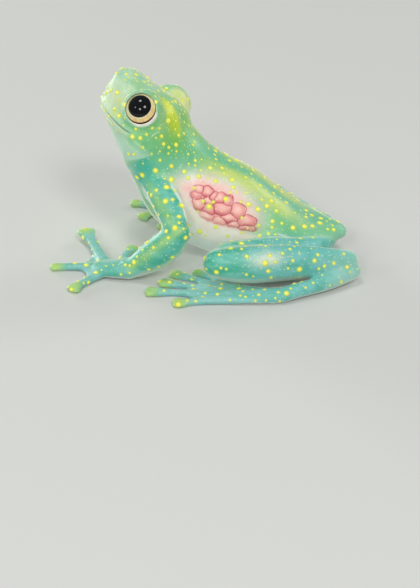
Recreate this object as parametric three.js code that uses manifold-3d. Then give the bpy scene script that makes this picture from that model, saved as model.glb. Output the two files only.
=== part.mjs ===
// A glass frog sitting with its chest raised on its arms and its hind legs folded, at life size.
// Millimetres, +Z up. The frog faces -X, and its left side faces -Y. It rests on the plane z = 0.
import * as THREE from 'three';
import { mergeVertices } from 'three/addons/utils/BufferGeometryUtils.js';
import Module from 'manifold-3d';

const wasm = await Module();
wasm.setup();

// Driving dimensions
const gap = 0.3; // left between pieces that touch
const eyeGap = 0.2; // left between an eyeball and its socket
const ground = 0; // height of the flats that the frog rests on
const padPress = 0.09; // how far the underside of a digit is pressed flat

const bodySides = 24;
const bodyRings = 32;
const bodyFullness = 0.92; // 1 is an ellipse, and less is squarer
const bodyEnd = { reach: 0.45, steps: [0.45, 0.75] }; // snout and rump: length by radius, and ring angles
const limbSides = 12;
const limbRings = 7;
const capTip = 0.35; // flat left at the tip of a round end, in steps of its rings
const digitSides = 8;
const workSize = 80; // side of the blocks that cut the solids, larger than the frog

// The head turns to the frog's right, looks up and leans a little, about the point between the eyes
const headPose = { middle: [-6.75, 0.28, 15.05], yaw: 17, pitch: 23, roll: 17 };

// The head's outline in its middle plane: forward and up from the point between the eyes, and half-width
const headProfile = [
  { top: [5.55, 0.45], bottom: [5.2, -2.8], wide: 1.3 },
  { top: [5.35, 1.5], bottom: [4.65, -3.5], wide: 2.25 },
  { top: [4.35, 1.9], bottom: [3.5, -4.3], wide: 3.25 },
  { top: [2.8, 1.75], bottom: [1.9, -5.15], wide: 4.1 },
  { top: [1.0, 1.6], bottom: [0.2, -6.15], wide: 4.7 },
  { top: [-1.3, 1.5], bottom: [-0.9, -6.85], wide: 5.1 },
];

// The trunk's outline in its middle plane: x and z of the back and of the belly, and half-width
const trunkProfile = [
  { top: [-3.6, 13.2], bottom: [-8.8, 6.8], wide: 4.9 },
  { top: [-1.6, 11.1], bottom: [-7.4, 3.7], wide: 4.9 },
  { top: [0.6, 9.8], bottom: [-4.2, 1.2], wide: 5.3 },
  { top: [3.0, 8.7], bottom: [-0.2, -0.1], wide: 5.4 },
  { top: [5.3, 7.05], bottom: [3.4, -0.2], wide: 5.0 },
  { top: [7.6, 5.6], bottom: [7.0, 0.5], wide: 4.2 },
  { top: [10.0, 4.6], bottom: [9.9, 1.4], wide: 2.9 },
  { top: [12.2, 3.95], bottom: [12.3, 2.1], wide: 1.5 },
  { top: [13.1, 3.4], bottom: [13.2, 2.6], wide: 0.75 },
];

const neckCut = { forward: -3.1, up: -2.5, lean: -28 }; // where the head parts from the trunk
const mouth = { level: -2.35, corner: -0.2, front: 9, jawLean: 40, reach: 6 };
const lips = [{ above: 0.3, radius: 0.34 }, { above: -0.28, radius: 0.28 }];
const lipRun = { end: 0.34, steps: 10, front: 5.55, behindCorner: 0.3 };

const eye = { apart: 6.85, ahead: 0.15, above: -0.15, radius: 1.75, proud: 0.15, lid: 0.3 };
const eyeLook = { forward: 0, outward: 0.9, upward: 0.33 };
const lidOpening = { inner: 1.48, outer: 2.56, from: 0.45, deep: 4 };
const nostril = { forward: 4.8, side: 1.0, up: 0.35, radius: 0.2 };

// Limbs: points on the middle line with the half-width and half-height there
const arms = {
  left: {
    upper: [
      { at: [-6.2, -3.0, 9.0], wide: 1.6, tall: 1.6 },
      { at: [-5.35, -4.8, 7.9], wide: 1.45, tall: 1.45 },
      { at: [-4.05, -6.7, 6.7], wide: 1.3, tall: 1.3 },
      { at: [-2.95, -8.1, 5.7], wide: 1.2, tall: 1.2 },
    ],
    fore: [
      { at: [-2.6, -8.5, 5.2], wide: 1.25, tall: 1.25 },
      { at: [-3.6, -8.6, 4.0], wide: 1.6, tall: 1.65 },
      { at: [-5.2, -8.8, 2.6], wide: 1.65, tall: 1.6 },
      { at: [-6.9, -9.0, 1.4], wide: 1.3, tall: 1.2 },
    ],
    palm: [
      { at: [-7.3, -9.0, 1.1], wide: 1.3, tall: 1.1 },
      { at: [-8.8, -8.9, 0.8], wide: 1.55, tall: 0.85 },
      { at: [-10.2, -8.6, 0.6], wide: 1.6, tall: 0.65 },
      { at: [-11.1, -8.3, 0.5], wide: 1.3, tall: 0.55 },
    ],
    fingers: [
      { path: [[-8.8, -8.0, 0.5], [-9.2, -5.6, 0.5], [-8.9, -2.9, 0.38]], stem: 0.5, disc: 0.78 },
      { path: [[-10.6, -7.7, 0.6], [-12.6, -4.7, 0.85], [-14.7, -1.4, 1.1]], stem: 0.62, disc: 1.1 },
      { path: [[-11.1, -8.3, 0.5], [-13.5, -8.6, 0.45], [-16.1, -9.2, 0.38]], stem: 0.52, disc: 0.62 },
      { path: [[-10.4, -9.5, 0.5], [-11.6, -11.4, 0.45], [-12.6, -13.5, 0.38]], stem: 0.5, disc: 0.85 },
    ],
  },
  right: {
    upper: [
      { at: [-5.4, 3.0, 8.6], wide: 1.5, tall: 1.5 },
      { at: [-4.9, 4.7, 7.4], wide: 1.45, tall: 1.45 },
      { at: [-3.9, 6.6, 6.0], wide: 1.3, tall: 1.3 },
      { at: [-2.8, 8.0, 4.6], wide: 1.35, tall: 1.35 },
    ],
    fore: [
      { at: [-2.6, 8.1, 4.5], wide: 1.35, tall: 1.35 },
      { at: [-3.5, 8.1, 3.6], wide: 1.6, tall: 1.55 },
      { at: [-4.6, 7.9, 2.4], wide: 1.4, tall: 1.35 },
      { at: [-5.8, 7.6, 1.25], wide: 1.1, tall: 1.0 },
    ],
    palm: [
      { at: [-6.0, 7.5, 1.1], wide: 1.1, tall: 0.95 },
      { at: [-7.2, 7.2, 0.75], wide: 1.35, tall: 0.8 },
      { at: [-8.2, 6.9, 0.6], wide: 1.45, tall: 0.65 },
      { at: [-8.9, 6.7, 0.5], wide: 1.2, tall: 0.55 },
    ],
    fingers: [
      { path: [[-7.3, 6.2, 0.5], [-7.3, 4.2, 0.45], [-7.0, 2.1, 0.38]], stem: 0.48, disc: 0.75 },
      { path: [[-8.3, 6.3, 0.5], [-9.1, 5.2, 0.45], [-9.9, 4.1, 0.38]], stem: 0.5, disc: 0.92 },
      { path: [[-8.7, 6.9, 0.5], [-10.2, 7.3, 0.45], [-11.8, 7.6, 0.38]], stem: 0.5, disc: 0.85 },
      { path: [[-8.0, 7.7, 0.5], [-8.9, 9.5, 0.45], [-9.7, 11.2, 0.38]], stem: 0.5, disc: 0.88 },
    ],
  },
};

const legs = {
  left: {
    thigh: [
      { at: [11.0, -1.5, 2.25], wide: 1.3, tall: 1.2 },
      { at: [9.3, -4.0, 2.25], wide: 1.8, tall: 1.55 },
      { at: [6.2, -6.3, 2.8], wide: 1.9, tall: 1.85 },
      { at: [2.5, -8.6, 3.25], wide: 1.5, tall: 1.65 },
    ],
    shank: [
      { at: [1.75, -9.9, 3.05], wide: 1.5, tall: 1.6 },
      { at: [4.6, -9.4, 3.05], wide: 1.7, tall: 1.95 },
      { at: [8.8, -7.7, 2.85], wide: 1.5, tall: 1.9 },
      { at: [14.1, -5.0, 2.2], wide: 1.1, tall: 1.25 },
    ],
    tarsus: [
      { at: [14.6, -5.1, 1.25], wide: 0.95, tall: 1.05 },
      { at: [12.6, -7.5, 1.0], wide: 0.8, tall: 0.85 },
      { at: [10.2, -9.4, 0.85], wide: 0.8, tall: 0.75 },
      { at: [8.3, -10.7, 0.65], wide: 0.95, tall: 0.7 },
    ],
    sole: [
      { at: [8.2, -10.7, 0.6], wide: 1.0, tall: 0.7 },
      { at: [6.2, -10.9, 0.5], wide: 1.3, tall: 0.6 },
      { at: [4.2, -11.0, 0.42], wide: 1.7, tall: 0.5 },
    ],
    toes: [
      { path: [[4.4, -9.9, 0.45], [1.4, -8.4, 0.4], [-1.4, -6.9, 0.36]], stem: 0.42, disc: 0.75 },
      { path: [[4.0, -10.4, 0.45], [0.3, -9.1, 0.4], [-3.7, -7.7, 0.36]], stem: 0.42, disc: 0.85 },
      { path: [[3.8, -10.9, 0.45], [-0.4, -10.4, 0.4], [-4.4, -9.9, 0.36]], stem: 0.42, disc: 0.85 },
      { path: [[3.8, -11.4, 0.45], [-0.8, -11.7, 0.4], [-5.4, -12.1, 0.36]], stem: 0.42, disc: 0.9 },
      { path: [[4.2, -12.0, 0.45], [1.0, -12.9, 0.4], [-2.0, -13.9, 0.36]], stem: 0.42, disc: 0.85 },
    ],
  },
  right: {
    thigh: [
      { at: [10.6, 1.4, 2.5], wide: 1.35, tall: 1.3 },
      { at: [8.0, 3.9, 2.2], wide: 1.85, tall: 1.5 },
      { at: [4.8, 6.3, 2.5], wide: 1.85, tall: 1.7 },
      { at: [1.5, 8.6, 2.8], wide: 1.5, tall: 1.6 },
    ],
    shank: [
      { at: [0.5, 9.9, 2.6], wide: 1.45, tall: 1.45 },
      { at: [2.9, 9.2, 2.3], wide: 1.6, tall: 1.5 },
      { at: [6.6, 6.8, 1.8], wide: 1.4, tall: 1.3 },
      { at: [10.4, 4.2, 1.6], wide: 1.1, tall: 1.1 },
    ],
    tarsus: [
      { at: [10.9, 4.4, 1.05], wide: 0.95, tall: 0.95 },
      { at: [9.4, 6.7, 0.9], wide: 0.8, tall: 0.75 },
      { at: [7.5, 9.1, 0.85], wide: 0.8, tall: 0.75 },
      { at: [5.8, 10.4, 0.65], wide: 0.95, tall: 0.7 },
    ],
  },
};

// The right foot is the left one mirrored, moved to its own ankle and turned outward by some degrees
const rightFoot = { turn: 18 };

// A digit along its length: its half-width as a share of its stem's or of its disc's
const digitHalfHeight = 0.42;
const digitStations = [
  { t: 0, stem: 1.25, tall: 1 },
  { t: 0.35, stem: 1, tall: 0.9 },
  { t: 0.7, stem: 0.92, tall: 0.85 },
  { t: 0.84, disc: 0.85, tall: 0.9 },
  { t: 0.95, disc: 1, tall: 0.85 },
];

// Webs: how far out along the digits each reaches, by the number of the digit that it grows from
const webSheet = { thickness: 0.5, lift: 0.02, dip: 0.55 };
const fingerWebs = { 1: 0.5, 2: 0.5 };
const toeWebs = { 0: 0.6, 1: 0.68, 2: 0.72, 3: 0.72 };

const colours = {
  skin: 0x6cc8a6,
  head: 0xa9dcc0,
  limb: 0x63c3ac,
  hand: 0x78cdb2,
  digit: 0xa9d574,
  eye: 0x16131a,
};
const gloss = { skin: 0.35, eye: 0.08 }; // roughness of the materials

// Solids

const vector = (values) => new THREE.Vector3(...values);

// A surface over rings of points, closed by a fan over each end ring
function skinOver(rings) {
  const sides = rings[0].length;
  const positions = rings.flat().flatMap((p) => [p.x, p.y, p.z]);
  const index = [];
  for (let ring = 0; ring < rings.length - 1; ring += 1) {
    for (let side = 0; side < sides; side += 1) {
      const next = (side + 1) % sides;
      const a = ring * sides + side;
      const b = ring * sides + next;
      index.push(a, b, b + sides, a, b + sides, a + sides);
    }
  }
  [rings[0], rings.at(-1)].forEach((ring, end) => {
    const middle = ring.reduce((sum, p) => sum.add(p), new THREE.Vector3()).divideScalar(sides);
    const hub = positions.length / 3;
    positions.push(middle.x, middle.y, middle.z);
    const start = end * (rings.length - 1) * sides;
    for (let side = 0; side < sides; side += 1) {
      const a = start + side;
      const b = start + ((side + 1) % sides);
      index.push(...(end ? [a, b, hub] : [b, a, hub]));
    }
  });
  const geometry = new THREE.BufferGeometry();
  geometry.setAttribute('position', new THREE.Float32BufferAttribute(positions, 3));
  geometry.setIndex(index);
  return geometry;
}

function signedVolume(positions, index) {
  const a = new THREE.Vector3();
  const b = new THREE.Vector3();
  const c = new THREE.Vector3();
  let sum = 0;
  for (let i = 0; i < index.length; i += 3) {
    a.fromArray(positions, index[i] * 3);
    b.fromArray(positions, index[i + 1] * 3);
    c.fromArray(positions, index[i + 2] * 3);
    sum += a.dot(b.cross(c));
  }
  return sum;
}

function solidOf(geometry) {
  const bare = geometry.clone();
  bare.deleteAttribute('normal');
  bare.deleteAttribute('uv');
  const merged = mergeVertices(bare, 1e-5);
  const positions = Float32Array.from(merged.attributes.position.array);
  const index = Uint32Array.from(merged.index.array);
  if (signedVolume(positions, index) < 0) {
    for (let i = 0; i < index.length; i += 3) {
      [index[i], index[i + 1]] = [index[i + 1], index[i]];
    }
  }
  return new wasm.Manifold(new wasm.Mesh({ numProp: 3, vertProperties: positions, triVerts: index }));
}

const joined = (solids) => solids.reduce((whole, solid) => whole.add(solid));
const cutBy = (solid, cutters) => cutters.reduce((whole, cutter) => whole.subtract(cutter), solid);

function largest(solid) {
  const pieces = solid.decompose();
  return pieces.reduce((best, piece) => (piece.volume() > best.volume() ? piece : best));
}

// An oval ring, with its half-width and its half-height as vectors
function ovalRing(middle, across, up, sides, fullness = 1) {
  const ring = [];
  for (let side = 0; side < sides; side += 1) {
    const angle = (2 * Math.PI * side) / sides;
    const x = Math.sign(Math.cos(angle)) * Math.abs(Math.cos(angle)) ** fullness;
    const y = Math.sign(Math.sin(angle)) * Math.abs(Math.sin(angle)) ** fullness;
    ring.push(middle.clone().addScaledVector(across, x).addScaledVector(up, y));
  }
  return ring;
}

const curve = (points) => new THREE.CatmullRomCurve3(points, false, 'catmullrom');

// A round-ended limb along its stations, grown on all sides by an allowance
function limb(stations, options = {}) {
  const { sides = limbSides, rings = limbRings, caps = 3, grow = 0, upward = [0, 0, 1] } = options;
  const line = new THREE.CatmullRomCurve3(stations.map((s) => vector(s.at)));
  const sizes = curve(stations.map((s) => new THREE.Vector3(s.wide, s.tall, 0)));
  const place = (t, along, scale) => {
    const tangent = line.getTangent(t);
    const across = new THREE.Vector3().crossVectors(vector(upward), tangent).normalize();
    const up = new THREE.Vector3().crossVectors(tangent, across).normalize();
    const size = sizes.getPoint(t);
    const middle = line.getPoint(t).addScaledVector(tangent, along);
    const wide = across.multiplyScalar((size.x + grow) * scale);
    return ovalRing(middle, wide, up.multiplyScalar((size.y + grow) * scale), sides);
  };
  const all = [];
  const end = (t, sign) => {
    const size = sizes.getPoint(t);
    const length = Math.min(size.x, size.y) + grow;
    const cap = [];
    for (let step = 1; step <= caps; step += 1) {
      const angle = (step / (caps + capTip)) * (Math.PI / 2);
      cap.push(place(t, sign * length * Math.sin(angle), Math.cos(angle)));
    }
    return cap;
  };
  all.push(...end(0, -1).reverse());
  for (let ring = 0; ring <= rings; ring += 1) {
    all.push(place(ring / rings, 0, 1));
  }
  all.push(...end(1, 1));
  return solidOf(skinOver(all));
}

function ball(middle, radius, detail = 9) {
  const geometry = new THREE.SphereGeometry(radius, detail * 2, detail);
  geometry.translate(middle.x, middle.y, middle.z);
  return solidOf(geometry);
}

function slab(size, matrix) {
  return solidOf(new THREE.BoxGeometry(...size).applyMatrix4(matrix));
}

// Everything below the ground plane
const level = new THREE.Matrix4().makeTranslation(0, 0, ground - workSize / 2);
const underground = slab([workSize, workSize, workSize], level);
const settled = (solid) => solid.subtract(underground);

// Head and trunk

const radians = THREE.MathUtils.degToRad;
const headFrame = (() => {
  const turn = new THREE.Matrix4().makeRotationZ(-radians(headPose.yaw));
  const look = new THREE.Matrix4().makeRotationY(radians(headPose.pitch));
  const lean = new THREE.Matrix4().makeRotationX(-radians(headPose.roll));
  const matrix = turn.multiply(look).multiply(lean);
  return matrix.setPosition(...headPose.middle);
})();
const inHead = (forward, right, up) => new THREE.Vector3(-forward, right, up).applyMatrix4(headFrame);
const headAxis = (forward, right, up) => inHead(forward, right, up).sub(inHead(0, 0, 0));
const headForward = headAxis(1, 0, 0);
const headRight = headAxis(0, 1, 0);
const headUp = headAxis(0, 0, 1);

// From a plane drawn as forward and up in the head's middle to the head in its pose
const drawnInHead = new THREE.Matrix4()
  .makeBasis(headForward, headUp, headRight.clone().negate())
  .setPosition(inHead(0, 0, 0));

function bodySection(top, bottom, across) {
  const middle = top.clone().add(bottom).multiplyScalar(0.5);
  return { middle, up: top.clone().sub(middle), across };
}

const headSection = ({ top, bottom, wide }) => bodySection(
  inHead(top[0], 0, top[1]),
  inHead(bottom[0], 0, bottom[1]),
  headRight.clone().multiplyScalar(wide),
);
const trunkSection = ({ top, bottom, wide }) => bodySection(
  new THREE.Vector3(top[0], 0, top[1]),
  new THREE.Vector3(bottom[0], 0, bottom[1]),
  new THREE.Vector3(0, wide, 0),
);
const bodySections = [...headProfile.map(headSection), ...trunkProfile.map(trunkSection)];
const bodyLines = ['middle', 'up', 'across'].map((key) => curve(bodySections.map((s) => s[key])));
const bodyAt = (t) => bodyLines.map((line) => line.getPoint(t));

function bodySolid(grow = 0) {
  const grown = (half, scale = 1) => half.clone().setLength((half.length() + grow) * scale);
  const ringOf = (middle, across, up, scale = 1) => (
    ovalRing(middle, grown(across, scale), grown(up, scale), bodySides, bodyFullness)
  );
  const rings = [];
  for (let step = 0; step <= bodyRings; step += 1) {
    const [middle, up, across] = bodyAt(step / bodyRings);
    rings.push(ringOf(middle, across, up));
  }
  [0, 1].forEach((end) => {
    const [middle, up, across] = bodyAt(end);
    const outward = bodyLines[0].getTangent(end).multiplyScalar(end ? 1 : -1);
    const reach = Math.min(up.length(), across.length()) * bodyEnd.reach + grow;
    bodyEnd.steps.forEach((step) => {
      const angle = (step * Math.PI) / 2;
      const away = middle.clone().addScaledVector(outward, reach * Math.sin(angle));
      const ring = ringOf(away, across, up, Math.cos(angle));
      if (end) rings.push(ring);
      else rings.unshift(ring);
    });
  });
  return solidOf(skinOver(rings));
}

const eyeMiddle = (side) => inHead(eye.ahead, (side * eye.apart) / 2, eye.above);
const eyeAxis = (side) => headAxis(eyeLook.forward, side * eyeLook.outward, eyeLook.upward).normalize();
const eyeballMiddle = (side) => eyeMiddle(side).addScaledVector(eyeAxis(side), eye.proud);
const eyeBulge = (side) => ball(eyeMiddle(side), eye.radius + eyeGap + eye.lid);

function eyeOpening(side) {
  const { inner, outer, from, deep } = lidOpening;
  const cone = new THREE.CylinderGeometry(outer, inner, deep, 18);
  const upright = new THREE.Vector3(0, 1, 0);
  cone.applyQuaternion(new THREE.Quaternion().setFromUnitVectors(upright, eyeAxis(side)));
  const middle = eyeMiddle(side).addScaledVector(eyeAxis(side), from + deep / 2);
  cone.translate(middle.x, middle.y, middle.z);
  return solidOf(cone);
}

function nostrilPit(side) {
  return ball(inHead(nostril.forward, side * nostril.side, nostril.up), nostril.radius, 5);
}

// A thin sheet across the head, along a line drawn in the head's middle plane
function sheetAlong(points, thickness) {
  const offset = (point, i, sign) => {
    const before = points[Math.max(i - 1, 0)];
    const after = points[Math.min(i + 1, points.length - 1)];
    const run = after.clone().sub(before).normalize();
    return point.clone().add(new THREE.Vector2(-run.y, run.x).multiplyScalar((sign * thickness) / 2));
  };
  const edge = (sign) => points.map((point, i) => offset(point, i, sign));
  const outline = new THREE.Shape([...edge(1), ...edge(-1).reverse()]);
  const sheet = new THREE.ExtrudeGeometry(outline, { depth: workSize, bevelEnabled: false });
  sheet.translate(0, 0, -workSize / 2);
  sheet.applyMatrix4(drawnInHead);
  return solidOf(sheet);
}

const jawLean = radians(mouth.jawLean);
const jawLine = [
  new THREE.Vector2(mouth.front, mouth.level),
  new THREE.Vector2(mouth.corner, mouth.level),
  new THREE.Vector2(-mouth.reach * Math.cos(jawLean), -mouth.reach * Math.sin(jawLean))
    .add(new THREE.Vector2(mouth.corner, mouth.level)),
];

// The block ahead of the neck's cut (1) or behind it (-1)
function neckBlock(sign) {
  const block = new THREE.BoxGeometry(workSize, workSize, workSize);
  block.translate((sign * (workSize + gap)) / 2, 0, 0);
  block.rotateZ(-radians(neckCut.lean));
  block.translate(neckCut.forward, neckCut.up, 0);
  block.applyMatrix4(drawnInHead);
  return solidOf(block);
}

// A lip runs round the head at a small height above or below the line of the mouth
function lip({ above, radius }) {
  const height = mouth.level + above;
  const along = (axis, p) => axis.dot(p.clone().sub(inHead(0, 0, 0)));
  const right = [];
  for (let step = 0; step <= lipRun.steps; step += 1) {
    const [middle, up, across] = bodyAt((step * lipRun.end) / lipRun.steps);
    const ring = ovalRing(middle, across, up, 360, bodyFullness);
    const rightHalf = ring.filter((p, i) => i < 90 || i > 270);
    const offHeight = (p) => Math.abs(along(headUp, p) - height);
    right.push(rightHalf.reduce((best, p) => (offHeight(p) < offHeight(best) ? p : best)));
  }
  const shown = right.filter((p) => along(headForward, p) > mouth.corner - lipRun.behindCorner);
  const mirror = (p) => p.clone().addScaledVector(headRight, -2 * along(headRight, p));
  const path = [...shown.toReversed(), inHead(lipRun.front, 0, height), ...shown.map(mirror)];
  return limb(
    path.map((p) => ({ at: p.toArray(), wide: radius, tall: radius })),
    { sides: 6, rings: 20, caps: 1, upward: headUp.toArray() },
  );
}

const wholeBody = joined([bodySolid(), eyeBulge(-1), eyeBulge(1), ...lips.map(lip)]);
const torso = largest(settled(wholeBody.intersect(neckBlock(-1))));
const skull = cutBy(wholeBody.intersect(neckBlock(1)), [
  ball(eyeballMiddle(-1), eye.radius + eyeGap, 8),
  ball(eyeballMiddle(1), eye.radius + eyeGap, 8),
  eyeOpening(-1),
  eyeOpening(1),
  nostrilPit(-1),
  nostrilPit(1),
  sheetAlong(jawLine, gap),
]);
const skullPieces = skull.decompose().sort((a, b) => b.volume() - a.volume());

// Limbs and digits

const grownBody = bodySolid(gap);

function digit(spec, grow = 0) {
  const pressed = spec.path.map(([x, y, z]) => new THREE.Vector3(x, y, z - padPress));
  const line = new THREE.CatmullRomCurve3(pressed);
  const stations = digitStations.map(({ t, stem, disc, tall }) => ({
    at: line.getPoint(t).toArray(),
    wide: disc ? disc * spec.disc : stem * spec.stem,
    tall: tall * digitHalfHeight,
  }));
  return limb(stations, { sides: digitSides, rings: 6, caps: 2, grow });
}

// A thin web between two digits, from their bases out to a share of their length
function web(first, second, share) {
  const { thickness, lift, dip } = webSheet;
  const lines = [first, second].map((spec) => new THREE.CatmullRomCurve3(spec.path.map(vector)));
  const outline = new THREE.Shape();
  const [a, b] = lines.map((line) => line.getPoint(0));
  const [c, d] = lines.map((line) => line.getPoint(share));
  const hollow = c.clone().lerp(d, 0.5).lerp(a.clone().lerp(b, 0.5), 1 - dip);
  outline.moveTo(a.x, a.y);
  outline.lineTo(c.x, c.y);
  outline.quadraticCurveTo(hollow.x, hollow.y, d.x, d.y);
  outline.lineTo(b.x, b.y);
  outline.closePath();
  const sheet = { depth: thickness, bevelEnabled: false, curveSegments: 5 };
  const plate = new THREE.ExtrudeGeometry(outline, sheet);
  plate.translate(0, 0, ground + lift);
  return solidOf(plate);
}

const nodes = [];
function addNode(name, solid, colour, roughness = gloss.skin) {
  const mesh = largest(solid).getMesh();
  const geometry = new THREE.BufferGeometry();
  geometry.setAttribute('position', new THREE.Float32BufferAttribute(mesh.vertProperties, 3));
  geometry.setIndex(new THREE.Uint32BufferAttribute(mesh.triVerts, 1));
  const material = new THREE.MeshStandardMaterial({ color: colour, roughness, metalness: 0 });
  const node = new THREE.Mesh(geometry, material);
  node.name = name;
  nodes.push(node);
}

addNode('torso', torso, colours.skin);
addNode('head', skullPieces[0], colours.head);
addNode('lower_jaw', skullPieces[1], colours.head);
addNode('eye_left', ball(eyeballMiddle(-1), eye.radius), colours.eye, gloss.eye);
addNode('eye_right', ball(eyeballMiddle(1), eye.radius), colours.eye, gloss.eye);

function addForelimb(side, spec) {
  const foreGrown = limb(spec.fore, { grow: gap });
  const palmGrown = limb(spec.palm, { grow: gap });
  addNode(`upper_arm_${side}`, cutBy(limb(spec.upper), [grownBody, foreGrown]), colours.limb);
  addNode(`forearm_${side}`, settled(cutBy(limb(spec.fore), [grownBody])), colours.limb);
  addNode(`hand_${side}`, settled(cutBy(limb(spec.palm), [foreGrown])), colours.hand);
  addDigits(`finger_${side}`, spec.fingers, fingerWebs, [palmGrown, foreGrown]);
}

function addHindlimb(side, spec) {
  const shankGrown = limb(spec.shank, { grow: gap });
  const tarsusGrown = limb(spec.tarsus, { grow: gap });
  const soleGrown = limb(spec.sole, { grow: gap });
  addNode(`thigh_${side}`, settled(cutBy(limb(spec.thigh), [grownBody, shankGrown])), colours.limb);
  addNode(`shank_${side}`, settled(cutBy(limb(spec.shank), [grownBody])), colours.limb);
  addNode(`tarsus_${side}`, settled(cutBy(limb(spec.tarsus), [shankGrown])), colours.limb);
  addNode(`foot_${side}`, settled(cutBy(limb(spec.sole), [tarsusGrown, shankGrown])), colours.hand);
  addDigits(`toe_${side}`, spec.toes, toeWebs, [soleGrown, tarsusGrown, shankGrown]);
}

// Each digit as its own node. A web grows from its side and stops short of the next digit.
function addDigits(name, digits, webShares, joints) {
  const grown = digits.map((spec) => digit(spec, gap));
  digits.forEach((spec, i) => {
    const share = webShares[i];
    const fan = share ? [cutBy(web(spec, digits[i + 1], share), [grown[i + 1]])] : [];
    const earlier = i ? [grown[i - 1]] : [];
    const whole = cutBy(joined([digit(spec), ...fan]), [...joints, ...earlier]);
    addNode(`${name}_${i + 1}`, settled(whole), colours.digit);
  });
}

const leftAnkle = vector(legs.left.tarsus.at(-1).at);
const rightAnkle = vector(legs.right.tarsus.at(-1).at);
const mirroredToRight = ([x, y, z]) => {
  const fromAnkle = new THREE.Vector3(x - leftAnkle.x, leftAnkle.y - y, 0);
  fromAnkle.applyAxisAngle(new THREE.Vector3(0, 0, 1), -radians(rightFoot.turn));
  return [rightAnkle.x + fromAnkle.x, rightAnkle.y + fromAnkle.y, z];
};
legs.right.sole = legs.left.sole.map((s) => ({ ...s, at: mirroredToRight(s.at) }));
legs.right.toes = legs.left.toes.map((toe) => ({ ...toe, path: toe.path.map(mirroredToRight) }));

addForelimb('left', arms.left);
addForelimb('right', arms.right);
addHindlimb('left', legs.left);
addHindlimb('right', legs.right);

// The origin is the middle of the ground that the frog covers
const frog = new THREE.Group();
frog.add(...nodes);
const box = new THREE.Box3().setFromObject(frog, true);
frog.position.set(-(box.min.x + box.max.x) / 2, -(box.min.y + box.max.y) / 2, -box.min.z);
frog.updateMatrixWorld(true);

export default frog;
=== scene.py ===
import math

import bpy
import numpy as np
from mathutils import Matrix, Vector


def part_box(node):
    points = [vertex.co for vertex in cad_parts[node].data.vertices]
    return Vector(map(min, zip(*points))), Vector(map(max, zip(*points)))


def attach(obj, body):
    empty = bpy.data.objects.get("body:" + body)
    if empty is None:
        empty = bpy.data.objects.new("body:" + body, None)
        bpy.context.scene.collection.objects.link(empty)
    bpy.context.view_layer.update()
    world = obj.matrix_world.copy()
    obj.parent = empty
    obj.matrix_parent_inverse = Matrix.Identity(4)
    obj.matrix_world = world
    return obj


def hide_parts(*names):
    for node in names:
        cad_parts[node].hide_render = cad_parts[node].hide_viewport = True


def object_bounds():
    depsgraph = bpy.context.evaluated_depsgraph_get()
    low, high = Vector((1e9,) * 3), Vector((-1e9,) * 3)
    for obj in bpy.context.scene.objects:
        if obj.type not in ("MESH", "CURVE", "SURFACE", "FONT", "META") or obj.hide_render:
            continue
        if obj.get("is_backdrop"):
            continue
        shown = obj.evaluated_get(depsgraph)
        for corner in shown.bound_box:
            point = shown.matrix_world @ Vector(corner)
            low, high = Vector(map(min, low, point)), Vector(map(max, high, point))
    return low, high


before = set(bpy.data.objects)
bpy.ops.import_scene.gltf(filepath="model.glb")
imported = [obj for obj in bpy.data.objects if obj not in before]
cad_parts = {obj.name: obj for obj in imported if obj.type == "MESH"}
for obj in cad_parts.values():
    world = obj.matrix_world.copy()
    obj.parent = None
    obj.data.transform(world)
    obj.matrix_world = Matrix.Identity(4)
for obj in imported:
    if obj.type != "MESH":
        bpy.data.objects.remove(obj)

import openvdb
from mathutils import Matrix, Vector

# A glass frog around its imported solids. Lengths are in millimetres until a mesh is made.
mm = 0.001
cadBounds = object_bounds()
scene = bpy.context.scene
rng = np.random.default_rng(41)
sides = {"left": -1, "right": 1}


# Small helpers

def smoothStep(value, low, high):
    t = np.clip((value - low) / (high - low), 0, 1)
    return t * t * (3 - 2 * t)


def bell(value, width):
    return np.exp(-(value / width) ** 2)


def unit(vector):
    vector = np.asarray(vector, float)
    return vector / np.linalg.norm(vector)


def corners(node):
    low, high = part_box(node)
    return np.array(low) / mm, np.array(high) / mm


def meshArrays(node):
    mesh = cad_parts[node].data
    mesh.calc_loop_triangles()
    points = np.empty(len(mesh.vertices) * 3, np.float32)
    mesh.vertices.foreach_get("co", points)
    triangles = np.empty(len(mesh.loop_triangles) * 3, np.int32)
    mesh.loop_triangles.foreach_get("vertices", triangles)
    return points.reshape(-1, 3) / np.float32(mm), triangles.reshape(-1, 3).astype(np.uint32)


# A smooth mesh of quads, with its points in mm
def makeMesh(name, points, quads):
    mesh = bpy.data.meshes.new(name)
    mesh.vertices.add(len(points))
    mesh.vertices.foreach_set("co", (np.asarray(points, np.float32) * mm).ravel())
    mesh.loops.add(quads.size)
    mesh.loops.foreach_set("vertex_index", quads.astype(np.int32).ravel())
    mesh.polygons.add(len(quads))
    mesh.polygons.foreach_set("loop_start", np.arange(0, quads.size, 4, dtype=np.int32))
    mesh.polygons.foreach_set("use_smooth", np.ones(len(quads), bool))
    mesh.update(calc_edges=True)
    mesh.validate()
    thing = bpy.data.objects.new(name, mesh)
    scene.collection.objects.link(thing)
    return thing


def addAttribute(thing, name, values):
    layer = thing.data.attributes.new(name, "FLOAT", "POINT")
    layer.data.foreach_set("value", np.asarray(values, np.float32))


# How far each point is from a line through a few places, and how far along it, from 0 to 1
def toLine(points, line):
    line = np.asarray(line, float)
    best = np.full(len(points), 1e9)
    along = np.zeros(len(points))
    lengths = np.linalg.norm(np.diff(line, axis=0), axis=1)
    done = 0.0
    for start, end, length in zip(line[:-1], line[1:], lengths):
        run = end - start
        t = np.clip(((points - start) @ run) / (run @ run), 0, 1)
        gap = np.linalg.norm(points - (start + t[:, None] * run), axis=1)
        closer = gap < best
        best[closer] = gap[closer]
        along[closer] = (done + t[closer] * length) / lengths.sum()
        done += length
    return best, along


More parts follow.
